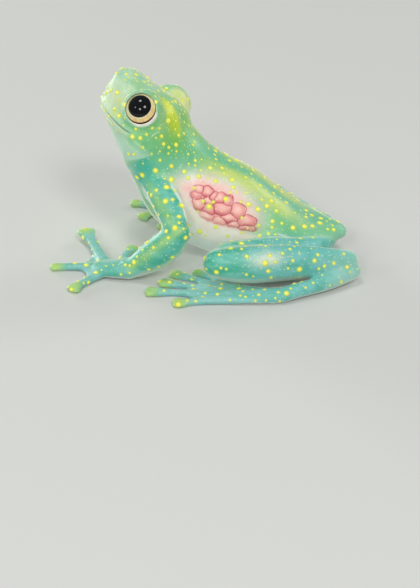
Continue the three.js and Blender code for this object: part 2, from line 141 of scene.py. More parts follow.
# The head's frame: forward, right and up from the point between the eyes
head = {"yaw": 17, "pitch": 23, "roll": 17}
eyes = {
    "ahead": 0.15, "above": -0.15, "proud": 0.15, "radius": 1.75,
    "look": (0, 0.9, 0.33),  # forward, outward and up
}


def turn(degrees, axis):
    return np.array(Matrix.Rotation(math.radians(degrees), 3, axis))


headTurn = turn(-head["yaw"], "Z") @ turn(head["pitch"], "Y") @ turn(-head["roll"], "X")
headForward, headRight, headUp = headTurn @ (-1, 0, 0), headTurn @ (0, 1, 0), headTurn @ (0, 0, 1)
eyeBall, eyeAxis, eyeMiddle, eyeForward, eyeUp = {}, {}, {}, {}, {}
for side, sign in sides.items():
    forward, outward, up = eyes["look"]
    axis = unit(headForward * forward + headRight * sign * outward + headUp * up)
    eyeAxis[side] = axis
    eyeForward[side] = unit(headForward - axis * (headForward @ axis))
    eyeUp[side] = unit(headUp - axis * (headUp @ axis))
    eyeBall[side] = np.mean(corners("eye_" + side), axis=0)
    eyeMiddle[side] = eyeBall[side] - axis * eyes["proud"]
between = (eyeMiddle["left"] + eyeMiddle["right"]) / 2
headMiddle = between - headForward * eyes["ahead"] - headUp * eyes["above"]


def inHead(points):
    away = points - headMiddle
    return away @ headForward, away @ headRight, away @ headUp


def fromHead(forward, right, up):
    return headMiddle + headForward * forward + headRight * right + headUp * up


# The body's volume: the solids run together, then the eyes' lids shaped

volume = {"voxel": 0.12, "band": 1.56, "margin": 2}
forms = {  # how softly each region's solids run into what is there already, and its rounds of relaxing
    "torso": (0.66, 70), "head": (0.66, 54), "lower_jaw": (0.66, 54),
    "upper_arm": (1.3, 30), "forearm": (0.8, 30), "hand": (0.8, 14), "finger": (0.64, 7),
    "thigh": (0.8, 28), "shank": (0.64, 28), "tarsus": (0.64, 16), "foot": (0.7, 12), "toe": (0.62, 7),
}
regions = list(forms)
fleshNodes = [(node, region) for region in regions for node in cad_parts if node.startswith(region)]
transform = openvdb.createLinearTransform(volume["voxel"])


# The first and the last corner of the grid round a box
def gridBox(low, high, margin=0):
    start = np.floor(low / volume["voxel"]).astype(int) - margin
    end = np.ceil(high / volume["voxel"]).astype(int) + margin
    return start, end


# Signed distances round a node, and the index of their first corner
def measureNode(node):
    points, triangles = meshArrays(node)
    reach = volume["band"] / volume["voxel"]
    grid = openvdb.FloatGrid.createLevelSetFromPolygons(
        points, triangles=triangles, transform=transform, exBandWidth=reach, inBandWidth=reach)
    first, last = gridBox(points.min(0) - volume["band"], points.max(0) + volume["band"])
    values = np.zeros(last - first + 1, np.float32)
    grid.copyToArray(values, ijk=tuple(int(i) for i in first))
    return first, values


def softUnion(a, b, width):
    overlap = np.clip(width - np.abs(a - b), 0, None)
    return np.minimum(a, b) - overlap * overlap / (4 * width)


def softCut(a, b, width):
    return -softUnion(-a, b, width)


boxes = np.array([corners(node) for node, _ in fleshNodes])
low, high = boxes[:, 0].min(0), boxes[:, 1].max(0)
first, last = gridBox(low - volume["band"], high + volume["band"], volume["margin"])
field = np.full(last - first + 1, volume["band"], np.float32)
nearest = field.copy()
owner = np.zeros(field.shape, np.int8)
for node, region in fleshNodes:
    corner, values = measureNode(node)
    window = tuple(slice(c - f, c - f + n) for c, f, n in zip(corner, first, values.shape))
    closer = values < nearest[window]
    owner[window][closer] = regions.index(region)
    np.minimum(nearest[window], values, out=nearest[window])
    field[window] = softUnion(field[window], values, forms[region][0])
print("volume", field.shape, "from", len(fleshNodes), "solids")

lids = {
    "bulge": 1.88, "bulgeBlend": 0.3,
    "rimAhead": 1.02, "rimRadius": 1.58, "rimThick": 0.2, "rimBlend": 0.3,
    "opening": 1.33, "openingAt": 0.45, "flare": 0.25, "edge": 0.16,
    "backward": 0.14, "downward": 0.03, "socket": 0.05, "reach": 3.6,
}


# Distance from the line through the middle of a lid's opening, a little behind the eye's axis
def fromOpening(away, along, side):
    moved = away + eyeForward[side] * lids["backward"] + eyeUp[side] * lids["downward"]
    return np.sqrt(np.maximum((moved ** 2).sum(-1) - along ** 2, 0))


def shapeLids(side):
    middle, axis = eyeMiddle[side], eyeAxis[side]
    start, end = gridBox(middle - lids["reach"], middle + lids["reach"])
    window = tuple(slice(s - f, e - f + 1) for s, e, f in zip(start, end, first))
    spans = [np.arange(s, e + 1) * volume["voxel"] for s, e in zip(start, end)]
    points = np.stack(np.meshgrid(*spans, indexing="ij"), -1) - middle
    along = points @ axis
    across = fromOpening(points, along, side)
    part = field[window]
    bulge = np.linalg.norm(points, axis=-1) - lids["bulge"]
    part = softUnion(part, bulge, lids["bulgeBlend"])
    rim = np.hypot(across - lids["rimRadius"], along - lids["rimAhead"]) - lids["rimThick"]
    part = softUnion(part, rim, lids["rimBlend"])
    ahead = along - lids["openingAt"]
    cone = np.maximum(across - lids["opening"] - lids["flare"] * ahead, -ahead)
    part = softCut(part, cone, lids["edge"])
    ball = np.linalg.norm(points - axis * eyes["proud"], axis=-1) - eyes["radius"] - lids["socket"]
    field[window] = softCut(part, ball, lids["edge"] / 2)


for side in sides:
    shapeLids(side)

grid = openvdb.FloatGrid(volume["band"])
grid.copyFromArray(field, ijk=tuple(int(i) for i in first))
grid.transform = transform
points, quads = grid.convertToQuads(0)
points = points.astype(float)
quads = quads.astype(np.int64)
print("skin before smoothing", len(points), "points", len(quads), "quads")


# Only the outer surface is kept

def neighbourPairs(quads, count):
    a = quads.ravel()
    b = np.roll(quads, -1, axis=1).ravel()
    keys = np.unique(np.concatenate([a * count + b, b * count + a]))
    source, target = keys // count, keys % count
    starts = np.searchsorted(source, np.arange(count))
    return source, target, starts, np.diff(np.append(starts, len(source)))


def largestPiece(points, quads):
    source, target, _, _ = neighbourPairs(quads, len(points))
    label = np.arange(len(points))
    while True:
        before = label.copy()
        np.minimum.at(label, source, label[target])
        label = label[label]
        if (label == before).all():
            break
    values, counts = np.unique(label, return_counts=True)
    kept = label == values[counts.argmax()]
    number = np.cumsum(kept) - 1
    return points[kept], number[quads[kept[quads[:, 0]]]]


points, quads = largestPiece(points, quads)
quads = quads[:, ::-1]


def normalsOf(points, quads):
    corner = points[quads]
    face = np.cross(corner[:, 2] - corner[:, 0], corner[:, 3] - corner[:, 1])
    normal = np.zeros_like(points)
    for axis in range(3):
        for place in range(4):
            normal[:, axis] += np.bincount(quads[:, place], face[:, axis], len(points))
    return normal / np.maximum(np.linalg.norm(normal, axis=1, keepdims=True), 1e-12)


normals = normalsOf(points, quads)
enclosed = np.einsum("ij,ij->", points - points.mean(0), normals)
if enclosed < 0:
    quads = quads[:, ::-1]
    normals = -normals


# The facets of the solids are relaxed, most on the trunk and least on the digits

relaxing = {
    "rounds": 70, "step": 0.5, "lidsKept": (2.3, 3.1), "lidsShare": 0.08,
    "shareRounds": 12, "driftRounds": 40, "regionRounds": 36,
}
source, target, starts, counts = neighbourPairs(quads, len(points))
counts = np.maximum(counts, 1)[:, None]


def spread(values, strength, rounds):
    for _ in range(rounds):
        mean = np.add.reduceat(values[target], starts, axis=0) / counts
        values = values + strength * (mean - values)
    return values


cell = np.round(points / volume["voxel"]).astype(int) - first
place = owner[tuple(cell.T)]
share = np.array([rounds for _, rounds in forms.values()], float)[place] / relaxing["rounds"]
for side in sides:
    reach = np.linalg.norm(points - eyeMiddle[side], axis=1)
    share *= smoothStep(reach, *relaxing["lidsKept"]) * (1 - relaxing["lidsShare"]) + relaxing["lidsShare"]
step = relaxing["step"]
share = spread(share[:, None], step, relaxing["shareRounds"])
relaxed = spread(points, share * step, relaxing["rounds"])
drift = np.einsum("ij,ij->i", points - relaxed, normals)[:, None]
drift = spread(drift, step, relaxing["driftRounds"])
normals = normalsOf(relaxed, quads)
points = relaxed + normals * drift
points[:, 2] = np.maximum(points[:, 2], 0)
belongs = (place[:, None] == np.arange(len(regions))).astype(float)
belongs = spread(belongs, step, relaxing["regionRounds"])
print("skin relaxed", len(points))


# One round of Catmull-Clark on a closed mesh of quads. Further columns of points are carried along.
def refine(points, quads):
    count = len(points)
    following = np.roll(quads, -1, axis=1)
    keys = np.minimum(quads, following) * count + np.maximum(quads, following)
    edges, edgeOf = np.unique(keys.ravel(), return_inverse=True)
    edgeOf = edgeOf.reshape(quads.shape)
    facePoint = points[quads].mean(1)
    ends = points[edges // count] + points[edges % count]
    edgePoint, vertexFaces, vertexEdges = ends.copy(), np.zeros_like(points), np.zeros_like(points)
    valence = np.bincount(quads.ravel(), minlength=count)[:, None]
    edgeFaces = np.bincount(edgeOf.ravel(), minlength=len(edges))[:, None]
    for axis in range(points.shape[1]):
        shared = np.repeat(facePoint[:, axis], 4)
        edgePoint[:, axis] += np.bincount(edgeOf.ravel(), shared, len(edges))
        vertexFaces[:, axis] = np.bincount(quads.ravel(), shared, count)
        for end in (edges // count, edges % count):
            vertexEdges[:, axis] += np.bincount(end, ends[:, axis] / 2, count)
    edgePoint /= 2 + edgeFaces
    moved = (vertexFaces + 2 * vertexEdges) / valence + (valence - 3) * points
    moved /= valence
    first, second = count, count + len(edges)
    face = np.broadcast_to((second + np.arange(len(quads)))[:, None], quads.shape)
    fine = np.stack([quads, first + edgeOf, face, first + np.roll(edgeOf, 1, axis=1)], -1)
    return np.concatenate([moved, edgePoint, facePoint]), fine.reshape(-1, 4)


points, quads = refine(np.hstack([points, belongs]), quads)
points, belongs = points[:, :3].copy(), np.clip(points[:, 3:], 0, 1)
normals = normalsOf(points, quads)
print("skin refined", len(points), "points", len(quads), "quads")


# Forms and markings of the skin. Each marking is a mask from 0 to 1 at every point.

middleY = np.mean(corners("torso"), axis=0)[1]
forward, rightward, upward = inHead(points)
x, height = points[:, 0], points[:, 2]
fromMiddle = np.abs(points[:, 1] - middleY)
headPoints = np.stack([forward, np.abs(rightward), upward], 1)
bodyPoints = np.stack([x, fromMiddle, height], 1)
moves = np.zeros(len(points))
masks = {}


def inRegion(*names):
    return belongs[:, [regions.index(name) for name in names]].sum(1)


def gapTo(places, middle):
    return np.linalg.norm(places - np.array(middle), axis=1)


def fadeEnds(along, first, last):
    return smoothStep(along, 0, first) * smoothStep(along, 1, last)


def startMasks(*names):
    for name in names:
        masks[name] = np.zeros(len(points))


def raiseMask(name, values, where=slice(None)):
    masks[name][where] = np.maximum(masks[name][where], values)


trunk = inRegion("torso")
headParts = inRegion("head", "lower_jaw")
arms = inRegion("upper_arm", "forearm", "hand")
legs = inRegion("thigh", "shank", "tarsus", "foot")
digits = inRegion("finger", "toe")

mouth = {
    "line": (  # forward and up
        (-0.9, -2.18), (-0.25, -2.32), (0.36, -2.42), (0.94, -2.45),
        (2.0, -2.38), (3.0, -2.34), (4.0, -2.33), (5.5, -2.32),
    ),
    "corner": -0.6, "cornerRun": 0.7, "lowest": -5,
    "groove": 0.16, "wide": 0.07, "frontThinner": 0.72, "thinner": (1.5, 4),
    "upperLip": 0.05, "lowerLip": 0.08, "lipAway": 0.32, "lipWide": 0.22,
    "paintBelow": 0.25, "paint": (0.8, 0.2),
}
lineForward, lineUp = np.array(mouth["line"]).T
mouthCurve = np.polyfit(lineForward, lineUp, 4)
offMouth = upward - np.polyval(mouthCurve, np.clip(forward, lineForward[0], lineForward[-1]))
mouthRun = smoothStep(forward, mouth["corner"], mouth["corner"] + mouth["cornerRun"])
mouthRun *= (upward > mouth["lowest"]) * (headParts > 0.5)
mouthThin = 1 - mouth["frontThinner"] * smoothStep(forward, *mouth["thinner"])
crease = bell(offMouth, mouth["wide"]) * mouthRun
moves -= mouth["groove"] * crease * mouthThin
moves += mouth["upperLip"] * bell(offMouth - mouth["lipAway"], mouth["lipWide"]) * mouthRun
moves += mouth["lowerLip"] * bell(offMouth + mouth["lipAway"], mouth["lipWide"]) * mouthRun
# The crease along the mouth is painted dark green: painted shade in the groove.
masks["mouthCreaseShade"] = crease * mouthThin
masks["lips"] = smoothStep(np.abs(offMouth + mouth["paintBelow"]), *mouth["paint"]) * mouthRun

nostrils = {"at": (4.75, 1.0, 0.55), "radius": 0.12, "depth": 0.2, "rim": 0.05, "rimAt": 2.1, "dark": 1.1}
# The nostrils are shallow dips painted dark: painted shade inside the openings.
startMasks("nostrilShade")
for sign in sides.values():
    ahead, aside, above = nostrils["at"]
    spot = points[gapTo(points, fromHead(ahead, sign * aside, above)).argmin()]
    gap = gapTo(points, spot)
    moves -= nostrils["depth"] * bell(gap, nostrils["radius"])
    moves += nostrils["rim"] * bell(gap - nostrils["radius"] * nostrils["rimAt"], nostrils["radius"])
    raiseMask("nostrilShade", bell(gap, nostrils["radius"] * nostrils["dark"]))

# Soft folds behind the mouth and round the ear, in the head's frame
folds = {
    "lines": (  # height, width, paleness and places: behind the eye, jaw, cheek, over and under the ear
        (0.07, 0.22, 0.4, ((-2.0, 2.9, 1.3), (-2.7, 3.2, 0.4), (-3.1, 3.7, -0.9), (-3.3, 4.1, -2.4))),
        (0.05, 0.16, 0.8, ((-0.1, 5.0, -2.6), (-1.2, 4.95, -2.85), (-2.2, 4.6, -3.1), (-3.1, 4.2, -3.4))),
        (0.03, 0.18, 0.6, ((0.9, 4.85, -3.1), (-0.2, 4.95, -3.4), (-1.4, 4.9, -3.75), (-2.4, 4.5, -4.2))),
        (0.09, 0.09, 1.3, ((-2.2, 4.0, -0.95), (-2.26, 3.8, -0.8), (-2.27, 3.54, -0.41), (-2.3, 3.3, -0.2))),
        (0.08, 0.09, 1.3, ((-2.2, 4.3, -1.8), (-2.25, 4.17, -1.5), (-2.35, 3.75, -1.1), (-2.6, 3.4, -0.95))),
    ),
    "fade": (0.25, 0.7), "paint": 0.7,
}
startMasks("foldLine")
for high, wide, pale, line in folds["lines"]:
    gap, along = toLine(headPoints, line)
    ends = fadeEnds(along, *folds["fade"])
    moves += high * bell(gap, wide) * ends
    raiseMask("foldLine", bell(gap, wide * folds["paint"]) * ends * pale)

ear = {
    "at": (-2.3, 3.75, -0.72), "radius": 0.4, "ring": 0.04, "ringWide": 0.12,
    "sunk": 0.05, "sunkTo": 0.1,
}
gap = gapTo(headPoints, ear["at"])
ring = ear["ring"] * bell(gap - ear["radius"], ear["ringWide"])
moves += ring - ear["sunk"] * smoothStep(gap, ear["radius"], ear["sunkTo"])

lidPaint = {
    "above": 0.08, "rear": 0.8, "low": 0.6, "lowRear": (0.1, 0.95),
    "rimWider": 0.06, "rim": (0.26, 0.1), "pink": (0.25, 0.9),
    "foldAt": 0.62, "foldWide": 0.2, "foldEnd": (3.2, 2.6),
    "wall": 0.16, "still": (2.4, 2.9), "dark": (0.12, 0.4), "darkLeast": 0.3,
}
startMasks("lidRim", "lidPink", "lidFold", "socket")
inSocket = np.zeros(len(points), bool)
for side in sides:
    away = points - eyeMiddle[side]
    along = away @ eyeAxis[side]
    across = np.sqrt(np.maximum((away ** 2).sum(1) - along ** 2, 0))
    reach = np.linalg.norm(away, axis=1)
    toFront, toTop = away @ eyeForward[side] / across, away @ eyeUp[side] / across
    toRim = fromOpening(away, along, side) - lids["rimRadius"]
    rimGap = np.hypot(toRim, along - lids["rimAhead"] - lidPaint["above"])
    lowRear = smoothStep(-lidPaint["rear"] * toFront - lidPaint["low"] * toTop, *lidPaint["lowRear"])
    rim = smoothStep(rimGap - lidPaint["rimWider"] * lowRear, *lidPaint["rim"]) * (along > 0)
    raiseMask("lidRim", rim)
    raiseMask("lidPink", rim * smoothStep(lowRear, *lidPaint["pink"]))
    lidLine = bell(rimGap - lidPaint["foldAt"], lidPaint["foldWide"])
    raiseMask("lidFold", lidLine * smoothStep(reach, *lidPaint["foldEnd"]))
    inSocket |= gapTo(away, eyeAxis[side] * eyes["proud"]) < eyes["radius"] + lidPaint["wall"]
    still = reach < lidPaint["still"][1]
    moves[still] *= smoothStep(reach[still], *lidPaint["still"])
    # The inner wall of each lid is painted dark as shade, darkest on its lower rear side.
    shade = lidPaint["darkLeast"] + (1 - lidPaint["darkLeast"]) * lowRear
    socketShade = smoothStep(along, *[lids["rimAhead"] - depth for depth in lidPaint["dark"]]) * shade
    raiseMask("socket", socketShade[inSocket], inSocket)
behindEye = {"at": (-2.3, 2.7, 0.4), "reach": 0.95, "high": 0.26}
moves += behindEye["high"] * bell(gapTo(headPoints, behindEye["at"]), behindEye["reach"])

# Colour zones of the head: pale and minty in front, greener behind the eyes
face = {
    "mint": (-1.6, 2.6), "jawRun": 1.2, "jawUp": -2.4,
    "throatEdge": (-8.77, 11.15), "throatSlope": 0.25, "throatSoft": 0.14,
    "throatBack": (-5.2, -6.2), "throatUp": (-2.6, -4.2),
    "cream": (3.41, 3.58, -0.59), "creamReach": 1.7,
    "blotches": ((2.5, 4.14, -1.72), (1.78, 4.36, -1.64), (2.67, 3.88, -0.58)), "blotchReach": 0.4,
    "brow": ((2.5, 1.8, 1.45), (1.2, 2.2, 1.7), (-0.1, 3.3, 2.1)), "browReach": 0.75, "farBrow": 0.5,
    "bulgeSide": (0.7, 0.45, 0.5),  # back, inward and up
    "bulgeFrom": (0.8, 1.9), "bulgeRadius": 2.2, "bulgeWide": 0.9, "leftBulge": 0.25,
}
onRight = rightward > 0
paleRun = forward + face["jawRun"] * np.maximum(face["jawUp"] - upward, 0)
masks["mint"] = smoothStep(paleRun, *face["mint"]) * headParts
edgeX, edgeZ = face["throatEdge"]
overEdge = height - edgeZ - face["throatSlope"] * (x - edgeX)
masks["throat"] = smoothStep(overEdge, -face["throatSoft"], face["throatSoft"])
masks["throat"] *= smoothStep(x, *face["throatBack"])
masks["throat"] *= smoothStep(upward, *face["throatUp"]) * (1 - arms)
masks["cream"] = bell(gapTo(headPoints, face["cream"]), face["creamReach"])
startMasks("blotch", "bulgeTop")
for blotch in face["blotches"]:
    raiseMask("blotch", bell(gapTo(headPoints, blotch), face["blotchReach"]))
masks["brow"] = bell(toLine(headPoints, face["brow"])[0], face["browReach"])
masks["brow"] *= np.where(onRight, face["farBrow"], 1)
# The top of each eye's bulge is cream, partly its own colour and partly a painted highlight, strongest on the
# far bulge.
for side, sign in sides.items():
    rearward, inward, up = face["bulgeSide"]
    topSide = unit(headUp * up - headForward * rearward - headRight * sign * inward)
    away = points - eyeMiddle[side]
    bulge = bell(np.linalg.norm(away, axis=1) - face["bulgeRadius"], face["bulgeWide"])
    masks["bulgeTop"] += bulge * smoothStep(away @ topSide, *face["bulgeFrom"])
masks["bulgeTop"] *= np.where(onRight, 1, face["leftBulge"])

# A bright stripe from behind each eye to the nape
stripe = {
    "line": (
        (-0.3, 3.0, 2.05), (-0.75, 2.75, 1.83), (-1.25, 2.2, 1.35), (-1.76, 1.85, 0.98),
        (-2.4, 1.7, 0.47), (-3.28, 1.7, -0.37), (-3.9, 2.3, -1.4),
    ),
    "core": 0.55, "reach": 1.35, "start": 0.2, "end": (1.02, 0.6), "farSide": 0.12,
    "nape": (-3.2, 0.5, 0.2), "napeReach": 1.9, "washWider": 1.25, "washStart": 0.15,
}
gap, along = toLine(headPoints, stripe["line"])
masks["stripe"] = smoothStep(gap, stripe["reach"], stripe["core"])
masks["stripe"] *= smoothStep(along, 0, stripe["start"]) * smoothStep(along, *stripe["end"])
masks["stripe"] *= headParts + trunk
masks["stripe"] *= np.where(onRight, stripe["farSide"], 1)
masks["nape"] = bell(gapTo(headPoints, stripe["nape"]), stripe["napeReach"])
wash = bell(gap, stripe["reach"] * stripe["washWider"])
raiseMask("nape", wash * smoothStep(along, 0, stripe["washStart"]))

# The back: a pale band along each side, light beside it and a bluish spine
back = {
    "line": (
        (-2.8, 2.6, 11.0), (-0.6, 2.15, 10.2), (1.8, 1.85, 9.15), (4.3, 1.65, 7.85),
        (6.9, 1.65, 6.0), (8.6, 1.65, 5.1), (10.5, 1.4, 4.2),
    ),
    "wide": 1.05, "outer": 1.5, "inner": 0.2, "fade": (0.32, 0.7), "up": (0.25, 0.8),
    "spineWide": 0.75, "lightAt": 1.5, "lightWide": 1.2, "lightFrom": (-5, 1),
    "sunkAt": 9.8, "sunkLong": 2.2, "sunkWide": 2.6, "sunk": 0.22,
    "neckAt": (-2.6, 1.3, 0.4), "neckReach": 1.2, "neckHigh": 0.16,
}
gap, along = toLine(bodyPoints, back["line"])
masks["backBand"] = smoothStep(gap, back["wide"] * back["outer"], back["wide"] * back["inner"])
masks["backBand"] *= fadeEnds(along, *back["fade"]) * trunk
upSide = smoothStep(normals[:, 2], *back["up"])
sinking = bell(x - back["sunkAt"], back["sunkLong"]) * bell(fromMiddle, back["sunkWide"])
moves -= back["sunk"] * sinking * upSide * trunk
moves += back["neckHigh"] * bell(gapTo(headPoints, back["neckAt"]), back["neckReach"])
masks["spine"] = bell(fromMiddle, back["spineWide"]) * upSide * trunk * (1 - masks["mint"])
masks["backLight"] = bell(gap - back["lightAt"], back["lightWide"]) * upSide
masks["backLight"] *= smoothStep(x, *back["lightFrom"]) * trunk

chest = {
    "middle": (-7.3, 4.4, 9.6), "reach": 3.1, "onArms": 0.4,
    "paleAt": (-2.7, 4.3, 10.9), "paleReach": 1.8,
}
body = trunk + headParts
masks["shoulder"] = bell(gapTo(bodyPoints, chest["middle"]), chest["reach"])
masks["shoulder"] *= body + chest["onArms"] * arms
masks["shoulder"] *= smoothStep(overEdge, face["throatSoft"], -face["throatSoft"]) * (1 - masks["mint"])
masks["shoulderTop"] = bell(gapTo(bodyPoints, chest["paleAt"]), chest["paleReach"]) * (body + arms)

# What shows through the flank: a pale patch with rosy rounded shapes in it
flank = {
    "lateral": (1.2, 2.6), "trunk": (0.25, 0.65),
    "halo": {"middle": (0.75, 7.15), "tilt": -23, "long": 6.3, "high": 2.6, "edge": (1.1, 0.5)},
    "blush": {"middle": (1.1, 6.95), "tilt": -25.3, "long": 4.8, "high": 1.8, "edge": (1.1, 0.6)},
}
belly = {
    "below": (0.4, 1.5), "front": (-3.9, -2.9), "back": (7.5, 5.0), "down": (-0.2, -0.75),
    "onTrunk": 0.9, "onLimbs": 0.6, "low": (4.2, 2.2), "limbsGlowing": 0.12,
}
lateral = smoothStep(fromMiddle, *flank["lateral"]) * smoothStep(trunk, *flank["trunk"])
for name in ("halo", "blush"):
    form = flank[name]
    tilt = math.radians(form["tilt"])
    u, v = x - form["middle"][0], height - form["middle"][1]
    u, v = u * math.cos(tilt) + v * math.sin(tilt), -u * math.sin(tilt) + v * math.cos(tilt)
    masks[name] = smoothStep(np.hypot(u / form["long"], v / form["high"]), *form["edge"]) * lateral
masks["belly"] = smoothStep(-v, *belly["below"]) * trunk
masks["belly"] *= smoothStep(x, *belly["front"]) * smoothStep(x, *belly["back"])
downSide = smoothStep(normals[:, 2], *belly["down"])
raiseMask("belly", downSide * (trunk * belly["onTrunk"] + (legs + arms) * belly["onLimbs"]))
# Where this mask is, the skin glows a little by emission though it is no lamp: painted light, full on the pale
# belly and patch, slight on the limbs.
masks["selfGlow"] = np.maximum(masks["halo"], masks["belly"]) * trunk
masks["selfGlow"] += belly["limbsGlowing"] * (arms + legs + digits)
masks["bellyLow"] = masks["belly"] * smoothStep(height, *belly["low"])

cells = {
    "shapes": (  # along, up, half length, half height, strength of the outline
        (-1.05, 8.45, 0.58, 0.36, 0.7), (-0.16, 8.15, 0.64, 0.50, 1), (-1.32, 7.86, 0.60, 0.42, 0.7),
        (-0.96, 7.08, 0.70, 0.66, 0.8), (0.02, 7.36, 0.55, 0.46, 1), (0.42, 7.86, 0.50, 0.46, 1),
        (1.12, 7.62, 0.68, 0.50, 1), (1.95, 7.40, 0.52, 0.46, 0.9), (0.06, 6.62, 0.74, 0.60, 0.9),
        (1.46, 6.66, 1.05, 0.60, 1), (3.00, 6.46, 0.82, 0.70, 0.9), (2.18, 5.84, 0.84, 0.54, 1),
        (3.98, 5.50, 0.98, 0.60, 1), (2.70, 5.22, 0.75, 0.36, 0.6), (4.02, 4.90, 0.95, 0.32, 0.7),
        (-0.05, 5.92, 0.85, 0.50, 0.25), (1.22, 5.52, 0.85, 0.45, 0.3),
    ),
    "within": (6, 3.6), "lean": 0.12, "line": 0.05, "uneven": 0.5, "shared": 0.4, "inner": (-0.03, 0.1),
    "faintest": 0.4, "dome": 0.07, "domeEdge": 0.3,
    "lightAt": (-0.08, 0.1), "lightWide": 0.5, "shade": (0.1, 0.8),
    "waves": ((5.2, 0.6, 0.05), (9.1, 1, 0.03), (4.3, 0, 0.05), (8.3, 2, 0.03)),  # rate, start and height
    "lineWaves": ((3.1, 1.7), (2.3, 2)),
}


def wave(values, rate, start, high=1):
    return high * np.sin(rate * values + start)


shapes = np.array(cells["shapes"])
tones = rng.uniform(0, 1, len(shapes))
startMasks("cell", "cellLine", "cellTone", "cellHighlight", "cellShade")
wideU, wideV = cells["within"]
near = np.where((lateral > 0.01) & (np.abs(u) < wideU) & (np.abs(v) < wideV))[0]
nearX, nearZ, seen = x[near], height[near], lateral[near]
longZ, shortX, longX, shortZ = cells["waves"]
wavyX = nearX + wave(nearZ, *longZ) + wave(nearX, *shortX)
wavyZ = nearZ + wave(nearX, *longX) + wave(nearZ, *shortZ)
offX = wavyX[:, None] - shapes[:, 0]
offZ = wavyZ[:, None] - shapes[:, 1] + cells["lean"] * offX
gaps = np.hypot(offX / shapes[:, 2], offZ / shapes[:, 3])
ranked = np.argsort(gaps, axis=1)[:, :2]
rows, own = np.arange(len(near)), ranked[:, 0]
nearGap, nextGap = gaps[rows, own], gaps[rows, ranked[:, 1]]
offX, offZ = offX[rows, own], offZ[rows, own]
halfLong, halfHigh, drawn = shapes[own, 2:].T
toNext = (nextGap - nearGap) / 2
border = np.minimum(toNext, 1 - nearGap) * halfHigh
outline = np.where(1 - nearGap < toNext, drawn, np.minimum(1, drawn + cells["shared"]))
alongWave, upWave = cells["lineWaves"]
lineWide = cells["line"] * (1 + cells["uneven"] * wave(nearX, *alongWave) * wave(nearZ, *upWave))
isInner = smoothStep(border, *cells["inner"])
masks["cell"][near] = isInner * seen * (cells["faintest"] + (1 - cells["faintest"]) * drawn)
masks["cellLine"][near] = outline * bell(border, lineWide) * seen
masks["cellTone"][near] = tones[own]
# Each shape gets a painted highlight in its upper part and painted shade along its lower edge.
lightX, lightZ = cells["lightAt"]
fromLight = np.hypot((offX - lightX) / halfLong, (offZ - lightZ) / halfHigh)
masks["cellHighlight"][near] = isInner * bell(fromLight, cells["lightWide"]) * seen
masks["cellShade"][near] = isInner * smoothStep(-offZ / halfHigh, *cells["shade"]) * seen
moves[near] += cells["dome"] * smoothStep(border, 0, cells["domeEdge"]) * seen
print("flank shapes", len(shapes))

# Limbs: yellow-green along the outer side, pale edges painted as rim highlights, and bands between them, by
# the angle round the limb
limbs = {
    "middleWide": {"upper_arm": 28, "forearm": 22, "thigh": 0, "shank": 0},
    "edgeAt": {"upper_arm": (94, -56), "forearm": (76, -84), "thigh": (58, -95), "shank": (78, -95)},
    "edgeWide": 9, "bandAt": 0.6, "bandWide": 16, "backward": -0.2, "upward": 0.45,
    "armFuller": 0.5, "fullerAt": 95, "fullerWide": 40, "fullerLong": 0.6,
    "rimHighlightWide": 13, "rimHighlight": (0.2, 0.8),
    "highlightPatch": {"at": (7.1, 10.1, 4.1), "reach": (1.6, 1.5, 0.65)},
}
# The pale lines along the limbs' edges, whitest on the upper arm, are painted rim highlights.
startMasks("limbMiddle", "limbRimHighlight", "limbBand", "rimHighlight")
for part, middleWide in limbs["middleWide"].items():
    for side, sign in sides.items():
        nodePoints, _ = meshArrays(part + "_" + side)
        centre = nodePoints.mean(0).astype(float)
        axis = np.linalg.svd(nodePoints - centre, full_matrices=False)[2][0].astype(float)
        half = np.abs((nodePoints - centre) @ axis).max()
        outer = np.array((limbs["backward"], sign, limbs["upward"]))
        outer = unit(outer - axis * (outer @ axis))
        upper = np.cross(outer, axis)
        upper *= np.sign(upper @ (0.5, 0, 1))
        mine = (inRegion(part) > 0.01) & (np.sign(points[:, 1] - middleY) == sign)
        away = points[mine] - centre
        weight = inRegion(part)[mine]
        angle = np.degrees(np.arctan2(away @ upper, away @ outer))
        along = away @ axis / half
        if middleWide:
            masks["limbMiddle"][mine] += weight * bell(angle, middleWide)
        if part == "upper_arm":
            fuller = bell(angle - limbs["fullerAt"], limbs["fullerWide"])
            moves[mine] += limbs["armFuller"] * weight * fuller * bell(along, limbs["fullerLong"])
        for edge in limbs["edgeAt"][part]:
            masks["limbRimHighlight"][mine] += weight * bell(angle - edge, limbs["edgeWide"])
            if part == "upper_arm":
                drawn = smoothStep(bell(angle - edge, limbs["rimHighlightWide"]), *limbs["rimHighlight"])
                masks["rimHighlight"][mine] += weight * drawn
            masks["limbBand"][mine] += weight * bell(angle - edge * limbs["bandAt"], limbs["bandWide"])

# A near-white patch on each leg is a painted highlight; the fine dots crowd into it.
highlightPatch = limbs["highlightPatch"]
masks["legHighlight"] = bell(np.linalg.norm((bodyPoints - highlightPatch["at"]) / highlightPatch["reach"], axis=1), 1) * legs

# Discs at the ends of the digits
discs = {"middle": 0.45, "edge": (1.6, 0.3), "palms": 0.35}
startMasks("disc")
for node, region in fleshNodes:
    if region not in ("finger", "toe"):
        continue
    limb = "hand" if region == "finger" else "foot"
    root = np.mean(corners(limb + "_" + node.split("_")[1]), axis=0)
    nodePoints, _ = meshArrays(node)
    tip = nodePoints[gapTo(nodePoints, root).argmax()].astype(float)
    tip += unit(root - tip) * discs["middle"]
    raiseMask("disc", smoothStep(gapTo(points, tip), *discs["edge"]) * (digits > 0.5))
masks["stem"] = np.clip(digits * (1 - masks["disc"]) + inRegion("hand", "foot") * discs["palms"], 0, 1)
masks["limb"] = np.clip(arms + legs + digits, 0, 1)

